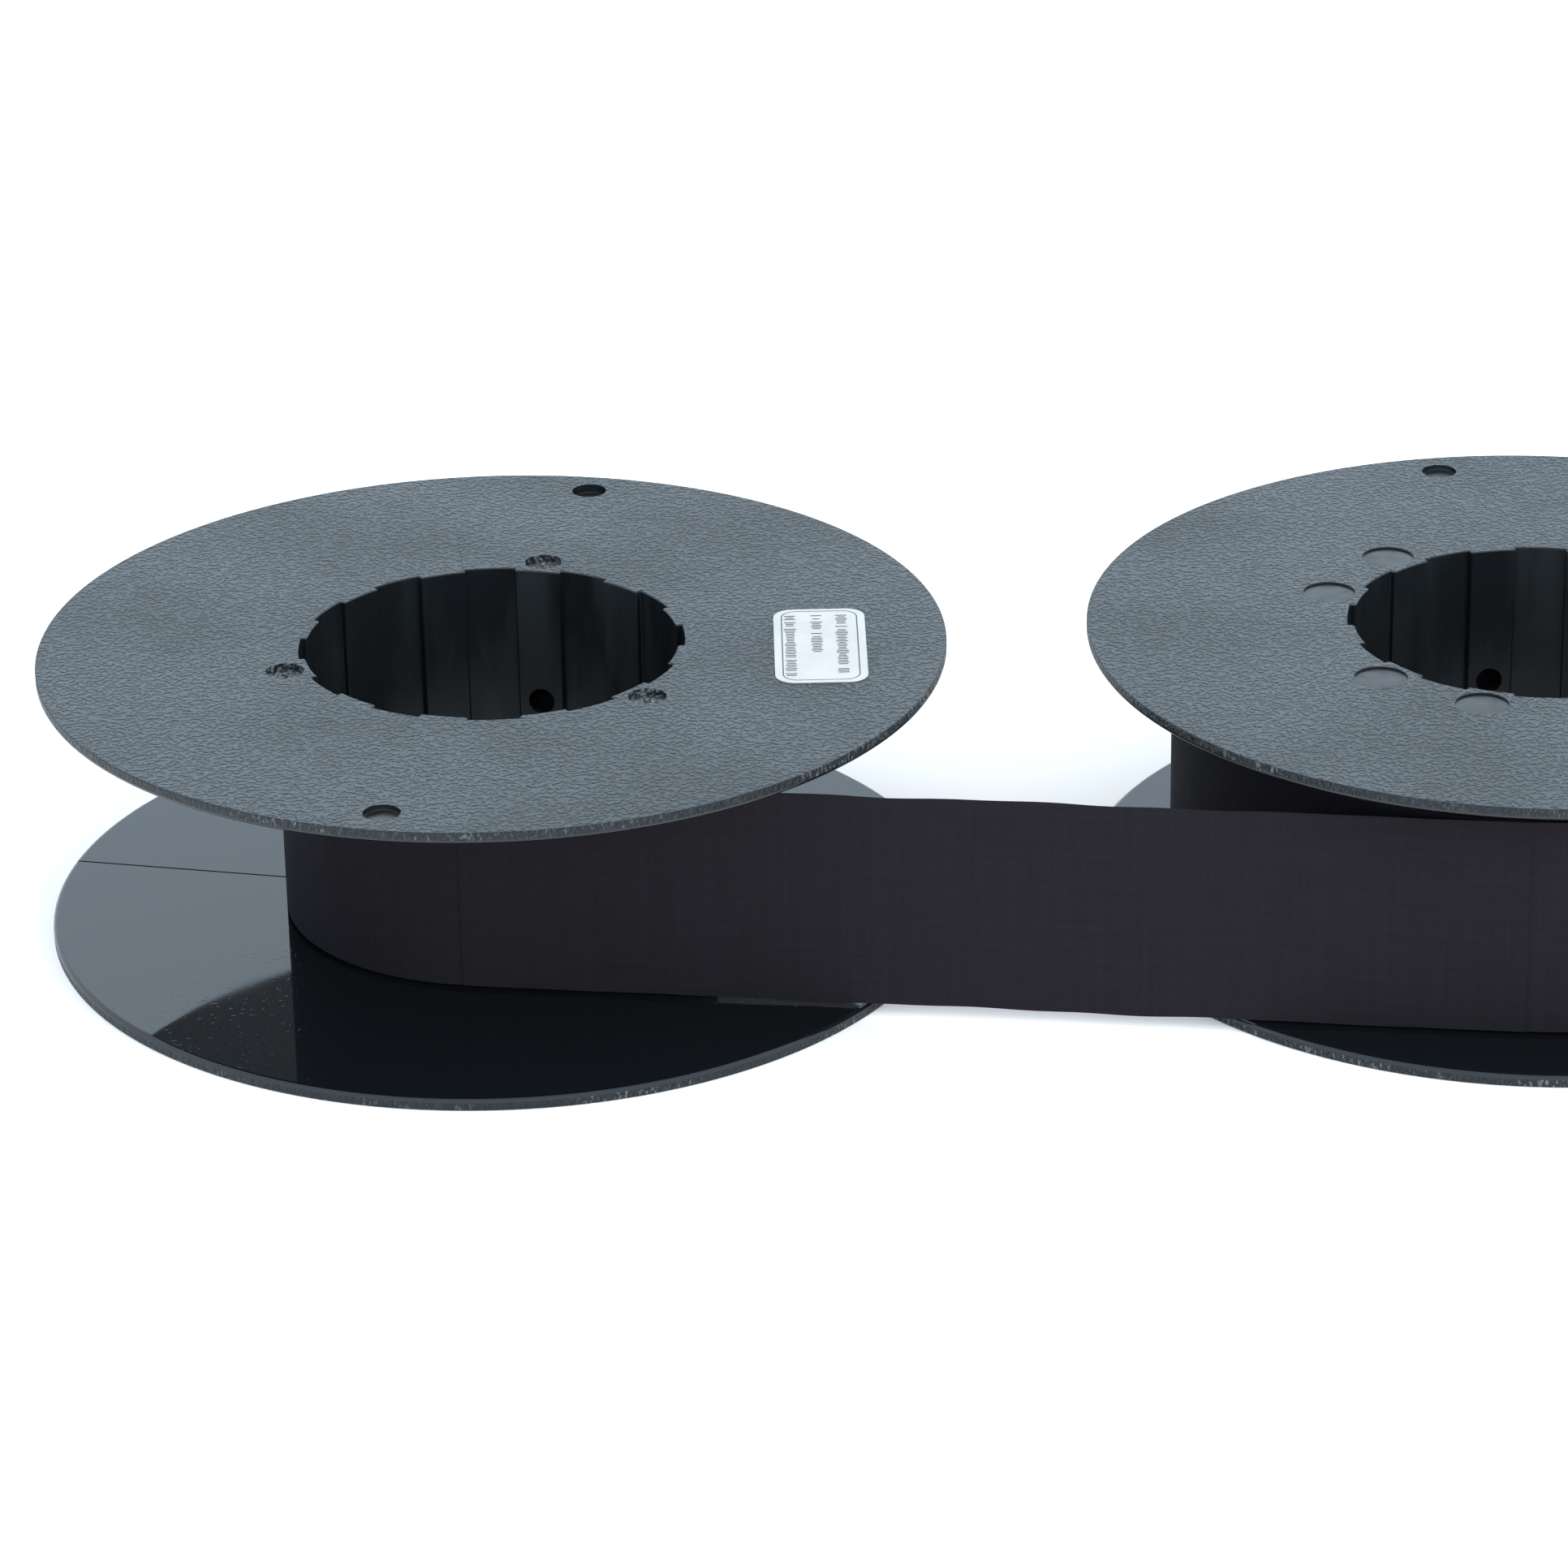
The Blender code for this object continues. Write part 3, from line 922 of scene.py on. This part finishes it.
AXES_APART = (SUPPLY_AXIS - TAKEUP_AXIS).length
RISE = (SUPPLY_RADIUS - TAKEUP_RADIUS) / AXES_APART
OUTWARDS = Vector((-RISE, -math.sqrt(1 - RISE ** 2), 0))     # from an axis to the span's end
LEAVES_AT = math.atan2(OUTWARDS.y, OUTWARDS.x)
RIBBON_MIDDLE = Vector((0, 0, (RIBBON_LOW + RIBBON_HIGH) / 2))
WINDING_START = HUB_RADIUS + 0.8 * MM             # just outside the end tab
LAST_TURN_GAP = RIBBON_THICKNESS + 0.01 * MM      # the span lies on the last turn


def wind(name, body, node, axis, outer, anticlockwise, seed):
    turns = float(round((outer - WINDING_START) / TURN_PITCH))
    mesh = grow(name, WINDING_TREE, {
        "Turns": turns, "Points": POINTS_PER_TURN, "Inner Radius": WINDING_START,
        "Outer Radius": outer - LAST_TURN_GAP, "Thickness": RIBBON_THICKNESS,
        "Width": RIBBON_WIDTH - UNEVEN, "Uneven": UNEVEN, "Seed": seed,
        "Anticlockwise": anticlockwise, "Turned": (0, 0, LEAVES_AT),
        "Place": axis + RIBBON_MIDDLE, "Material": NYLON})
    soften(mesh)
    add_piece(name, mesh, body, [node])
    print(name, int(turns), "turns", len(mesh.polygons), "faces")


wind("takeup_ribbon_turns", "takeup", "takeup_winding", TAKEUP_AXIS, TAKEUP_RADIUS,
     anticlockwise=True, seed=3.0)
wind("supply_ribbon_turns", "supply", "supply_winding", SUPPLY_AXIS, SUPPLY_RADIUS,
     anticlockwise=False, seed=11.0)

# %% [markdown]
# ## The free span
#
# Between the spools the ribbon is a strip pulled straight, tangent to both windings on the
# side nearest the viewer. It is a thin closed sheet with rows and columns enough to carry a
# faint ripple along its edges.

# %% Span
SPAN_LENGTH = math.sqrt(AXES_APART ** 2 - (SUPPLY_RADIUS - TAKEUP_RADIUS) ** 2)
SPAN_COLUMNS = 90
SPAN_ROWS = 16
RIPPLE = 0.05 * MM                   # in and out, near the two edges
EDGE_WAVE = 0.09 * MM                # up and down, at the two edges


def span_point(s, t, start, heading, face_out):
    """A point of the span: s runs along it and t up it, both from 0 to 1."""
    fade = math.sin(math.pi * s)
    from_middle = 2 * t - 1
    ripple = RIPPLE * fade * from_middle ** 4 * math.sin(41 * s + 9 * t)
    wave = fade * from_middle * (math.sin(23 * s + 2 * t) + 0.6 * math.sin(61 * s - t))
    place = start + heading * (s * SPAN_LENGTH)
    place = place + OUTWARDS * (face_out * RIBBON_THICKNESS + ripple)
    place.z = RIBBON_LOW + UNEVEN / 2 + t * (RIBBON_WIDTH - UNEVEN) + EDGE_WAVE * wave
    return place


def span_mesh():
    start = TAKEUP_AXIS + TAKEUP_RADIUS * OUTWARDS
    heading = (SUPPLY_AXIS + SUPPLY_RADIUS * OUTWARDS - start).normalized()
    skin = bmesh.new()
    along = skin.verts.layers.float.new("along")
    sides = []
    for face_out in (-0.5, 0.5):
        side = []
        for i in range(SPAN_COLUMNS + 1):
            s = i / SPAN_COLUMNS
            column = []
            for j in range(SPAN_ROWS + 1):
                place = span_point(s, j / SPAN_ROWS, start, heading, face_out)
                point = skin.verts.new(place)
                point[along] = s * SPAN_LENGTH
                column.append(point)
            side.append(column)
        sides.append(side)
    back, front = sides
    for i in range(SPAN_COLUMNS):
        for j in range(SPAN_ROWS):
            skin.faces.new((front[i][j], front[i + 1][j], front[i + 1][j + 1], front[i][j + 1]))
            skin.faces.new((back[i][j], back[i][j + 1], back[i + 1][j + 1], back[i + 1][j]))
        for j in (0, SPAN_ROWS):
            skin.faces.new((front[i][j], front[i + 1][j], back[i + 1][j], back[i][j]))
    for j in range(SPAN_ROWS):
        for i in (0, SPAN_COLUMNS):
            skin.faces.new((front[i][j], front[i][j + 1], back[i][j + 1], back[i][j]))
    bmesh.ops.recalc_face_normals(skin, faces=skin.faces)
    mesh = mesh_from(skin, "ribbon_span_cloth")
    mesh.materials.append(NYLON)
    soften(mesh)
    return mesh


span = add_piece("ribbon_span_cloth", span_mesh(), "ribbon", ["ribbon_span"])
print("span", round(SPAN_LENGTH / MM, 1), "mm long")

# %% [markdown]
# ## The label
#
# A small white paper sticker lies on the take-up flange. A thin rounded frame is printed round
# three rows of words. The words aren't repeated here: short bars of uneven length stand for
# them. The bars come from a Geometry Nodes tree that lays out one row from a start, a length
# and a seed.

# %% Label finishes


def label_paper():
    material, tree, shader = new_material("label_paper", (0.51, 0.52, 0.515), 0.6)
    place = object_place(tree)
    drawn = stretched_place(tree, place, (1, 0.3, 1))
    fibres = noise(tree, drawn, scale=2400, detail=4.0, roughness=0.7)
    add_bump(tree, shader, fibres, 0.01 * MM, strength=0.6)
    mottle = remap(tree, noise(tree, place, scale=260, detail=3.0), low=0.35, high=0.65)
    vary_colour(tree, shader, mottle, (0.49, 0.50, 0.495), (0.53, 0.54, 0.535))
    return material


def printed_ink():
    material, tree, shader = new_material("printed_ink", (0.03, 0.033, 0.038), 0.5)
    spread = noise(tree, object_place(tree), scale=5200, detail=2.0, roughness=0.7)
    thin = remap(tree, spread, low=0.48, high=0.72)
    vary_colour(tree, shader, thin, (0.025, 0.028, 0.033), (0.12, 0.13, 0.14))
    return material


PAPER = label_paper()
PRINT = printed_ink()
print("label finishes ready")

# %% Sticker
LABEL_LOW, LABEL_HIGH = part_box("reorder_label")
LABEL_MIDDLE = (LABEL_LOW + LABEL_HIGH) / 2
LABEL_WIDE = LABEL_HIGH.x - LABEL_LOW.x
LABEL_LONG = LABEL_HIGH.y - LABEL_LOW.y
LABEL_CORNER = 2.2 * MM
STICKER_LIFT = 0.01 * MM
STICKER_THICKNESS = 0.09 * MM
STICKER_LOW = SPOOL_HEIGHT + STICKER_LIFT
STICKER_TOP = STICKER_LOW + STICKER_THICKNESS
INK_THICKNESS = 0.012 * MM
FRAME_INSET = (0.85 * MM, 0.6 * MM)
FRAME_CORNER = LABEL_CORNER - 0.6 * FRAME_INSET[0]
FRAME_LINE = 0.13 * MM
CORNER_STEPS = 8


def rounded_outline(wide, long, corner):
    points = []
    for turn, (sx, sy) in zip((0, 90, 180, 270), ((1, 1), (-1, 1), (-1, -1), (1, -1))):
        for i in range(CORNER_STEPS + 1):
            angle = math.radians(turn + 90 * i / CORNER_STEPS)
            points.append((sx * (wide / 2 - corner) + corner * math.cos(angle),
                           sy * (long / 2 - corner) + corner * math.sin(angle)))
    return points


def label_loop(skin, outline, z):
    return [skin.verts.new((LABEL_MIDDLE.x + x, LABEL_MIDDLE.y + y, z)) for x, y in outline]


def join_loops(skin, loops):
    for row, after in zip(loops, loops[1:]):
        for i in range(len(row)):
            n = (i + 1) % len(row)
            skin.faces.new((row[i], row[n], after[n], after[i]))


def sticker_mesh():
    skin = bmesh.new()
    outline = rounded_outline(LABEL_WIDE, LABEL_LONG, LABEL_CORNER)
    rows = [label_loop(skin, outline, z) for z in (STICKER_LOW, STICKER_TOP)]
    skin.faces.new(list(reversed(rows[0])))
    skin.faces.new(rows[1])
    join_loops(skin, rows)
    mesh = mesh_from(skin, "label_sticker")
    mesh.materials.append(PAPER)
    return mesh


def frame_mesh():
    skin = bmesh.new()
    wide, long = LABEL_WIDE - 2 * FRAME_INSET[0], LABEL_LONG - 2 * FRAME_INSET[1]
    outer = rounded_outline(wide, long, FRAME_CORNER)
    inner = rounded_outline(wide - 2 * FRAME_LINE, long - 2 * FRAME_LINE, FRAME_CORNER - FRAME_LINE)
    low, high = STICKER_TOP, STICKER_TOP + INK_THICKNESS
    loops = [label_loop(skin, outline, z)
             for outline, z in ((outer, low), (outer, high), (inner, high), (inner, low))]
    join_loops(skin, loops + loops[:1])
    mesh = mesh_from(skin, "label_frame")
    mesh.materials.append(PRINT)
    return mesh


add_piece("label_sticker", sticker_mesh(), "takeup", ["reorder_label"])
add_piece("label_frame", frame_mesh(), "takeup")
print("label", round(LABEL_WIDE / MM, 1), "x", round(LABEL_LONG / MM, 1), "mm")

# %% Printed rows
ROW_INSET = 2.0 * MM
BAR_HEIGHT = 1.45 * MM
BAR_SPACING = 0.46 * MM
BAR_SHARE = 0.40                     # of the spacing that a bar fills
BARS_KEPT = 0.84                     # the rest are the gaps between words
SHORTEST_BAR = 0.55


def bars_tree():
    tree, given, out = new_tree("printed_row", [
        ("Start", "NodeSocketVector"), ("Length", "NodeSocketFloat"),
        ("Spacing", "NodeSocketFloat"), ("Height", "NodeSocketFloat"),
        ("Depth", "NodeSocketFloat"), ("Seed", "NodeSocketInt"),
        ("Material", "NodeSocketMaterial")])
    reach = add_node(tree, "ShaderNodeCombineXYZ", {
        "Y": math_node(tree, "MULTIPLY", given["Length"], -1.0)})
    end = add_node(tree, "ShaderNodeVectorMath", {0: given["Start"], 1: reach.outputs["Vector"]})
    line = add_node(tree, "GeometryNodeCurvePrimitiveLine", {
        "Start": given["Start"], "End": end.outputs["Vector"]})
    spots = add_node(tree, "GeometryNodeCurveToPoints", {
        "Curve": line.outputs["Curve"], "Length": given["Spacing"]}, mode="LENGTH")
    kept = add_node(tree, "FunctionNodeRandomValue", {
        "Probability": BARS_KEPT, "Seed": given["Seed"]}, data_type="BOOLEAN")
    tall = add_node(tree, "FunctionNodeRandomValue", {
        "Min": SHORTEST_BAR, "Max": 1.0, "Seed": given["Seed"]}, data_type="FLOAT")
    size = add_node(tree, "ShaderNodeCombineXYZ", {
        "X": math_node(tree, "MULTIPLY", given["Height"], tall.outputs[1]),
        "Y": math_node(tree, "MULTIPLY", given["Spacing"], BAR_SHARE), "Z": given["Depth"]})
    bar = add_node(tree, "GeometryNodeMeshCube", {"Size": (1, 1, 1)})
    laid = add_node(tree, "GeometryNodeInstanceOnPoints", {
        "Points": spots.outputs["Points"], "Instance": bar.outputs["Mesh"],
        "Selection": kept.outputs[3], "Scale": size.outputs["Vector"]})
    finish_tree(tree, laid.outputs["Instances"], given["Material"], out)
    return tree


BARS_TREE = bars_tree()


def print_row(name, across, share, seed):
    room = LABEL_LONG - 2 * ROW_INSET
    start = (LABEL_MIDDLE.x + across, LABEL_MIDDLE.y + room / 2, STICKER_TOP + INK_THICKNESS)
    mesh = grow(name, BARS_TREE, {
        "Start": start, "Length": room * share, "Spacing": BAR_SPACING, "Height": BAR_HEIGHT,
        "Depth": 2 * INK_THICKNESS, "Seed": seed, "Material": PRINT})
    add_piece(name, mesh, "takeup")
    print(name, len(mesh.polygons), "faces")


print_row("label_row_one", across=-3.35 * MM, share=1.0, seed=4)
print_row("label_row_two", across=-0.35 * MM, share=0.61, seed=7)
print_row("label_row_three", across=2.5 * MM, share=0.96, seed=12)

# %% [markdown]
# ## The end tabs
#
# Two short pieces of tape hold the ribbon's ends to the hubs. They are hidden under the
# windings, so the CAD shapes stay and only get a finish: dull film with a cloth backing.

# %% End tabs


def tape_film():
    material, tree, shader = new_material("end_tape", (0.10, 0.085, 0.06), 0.4)
    place = object_place(tree)
    weave = noise(tree, stretched_place(tree, place, (1, 1, 4)), scale=1800)
    add_bump(tree, shader, weave, 0.02 * MM)
    shade = remap(tree, weave, low=0.35, high=0.65)
    vary_colour(tree, shader, shade, (0.08, 0.068, 0.05), (0.13, 0.11, 0.08))
    return material


TAPE = tape_film()
for name in ("takeup_end_tab", "supply_end_tab"):
    for holder in frame["nodes"][name].material_slots:
        holder.link = "OBJECT"
        holder.material = TAPE
print("end tabs finished")
